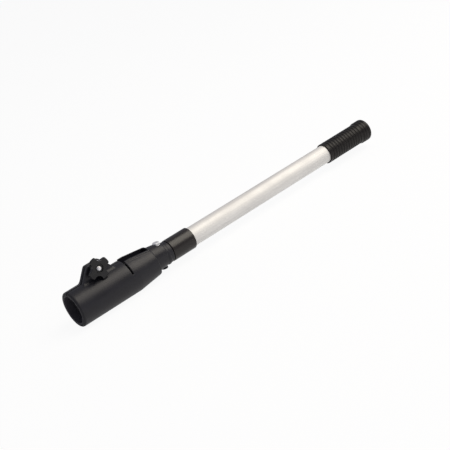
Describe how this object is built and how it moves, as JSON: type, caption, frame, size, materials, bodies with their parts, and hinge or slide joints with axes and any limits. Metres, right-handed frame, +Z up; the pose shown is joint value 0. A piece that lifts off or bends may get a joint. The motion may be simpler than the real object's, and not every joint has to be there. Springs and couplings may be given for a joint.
{
  "type": "telescopic tiller extension handle",
  "caption": "Telescopic tiller extension: a black clamp head with a star knob and a bolted neck, and a bright tube with a ribbed black grip that slides out and locks with a twist.",
  "frame": {"origin": "centre of the socket's mouth, on the tubes' common axis", "axes": "+X along the tubes from the socket to the grip, +Z up through the clamp ears, the knob on -Y"},
  "size_m": [0.603, 0.055, 0.0859],
  "materials": {
    "head_plastic": "satin black moulded nylon with a fine grain",
    "knob_plastic": "smooth black moulded plastic with a soft shine",
    "ferrule_plastic": "smooth satin black sleeve",
    "grip_rubber": "matt black soft grip",
    "outer_aluminium": "satin clear anodised tube",
    "inner_aluminium": "bright drawn tube",
    "zinc_steel": "bright zinc plated steel",
    "black_steel": "blackened steel",
    "insert_brass": "turned brass",
    "lock_plastic": "natural acetal",
    "plug_plastic": "dark grey moulded plastic"
  },
  "bodies": {
    "head": {"clamp_head": "head_plastic", "clamp_bolt": "zinc_steel", "neck_bolt": "zinc_steel", "neck_washers": "zinc_steel", "neck_nut": "black_steel", "inner_tube": "inner_aluminium", "lock_plug": "plug_plastic", "plug_pin": "zinc_steel", "lock_spindle": "zinc_steel", "stop_nut": "zinc_steel"},
    "washer": {"clamp_washer": "zinc_steel"},
    "knob": {"clamp_knob": "knob_plastic", "knob_insert": "insert_brass"},
    "expander": {"expander_sleeve": "lock_plastic"},
    "cone": {"expander_cone": "plug_plastic"},
    "handle": {"outer_tube": "outer_aluminium", "guide_bush": "lock_plastic", "ferrule": "ferrule_plastic", "grip": "grip_rubber", "tube_plug": "plug_plastic"}
  },
  "joints": [
    {"name": "knob_travel", "type": "slide", "parent": "head", "child": "washer", "axis": [0, -1, 0], "range_m": [0, 0.003]},
    {"name": "knob_turn", "type": "hinge", "parent": "washer", "child": "knob", "pos_m": [0.053, 0, 0.04094], "axis": [0, -1, 0], "range_deg": [0, 1080]},
    {"name": "handle_twist", "type": "hinge", "parent": "head", "child": "expander", "pos_m": [0.5, 0, 0], "axis": [1, 0, 0], "range_deg": [0, 180]},
    {"name": "cone_travel", "type": "slide", "parent": "expander", "child": "cone", "axis": [-1, 0, 0], "range_m": [0, 0.000625]},
    {"name": "handle_slide", "type": "slide", "parent": "expander", "child": "handle", "axis": [1, 0, 0], "range_m": [0, 0.33]}
  ],
  "couplings": [
    {"joint": "knob_travel", "follows": "knob_turn", "m_per_rad": 0.00015915},
    {"joint": "cone_travel", "follows": "handle_twist", "m_per_rad": 0.00019894}
  ]
}
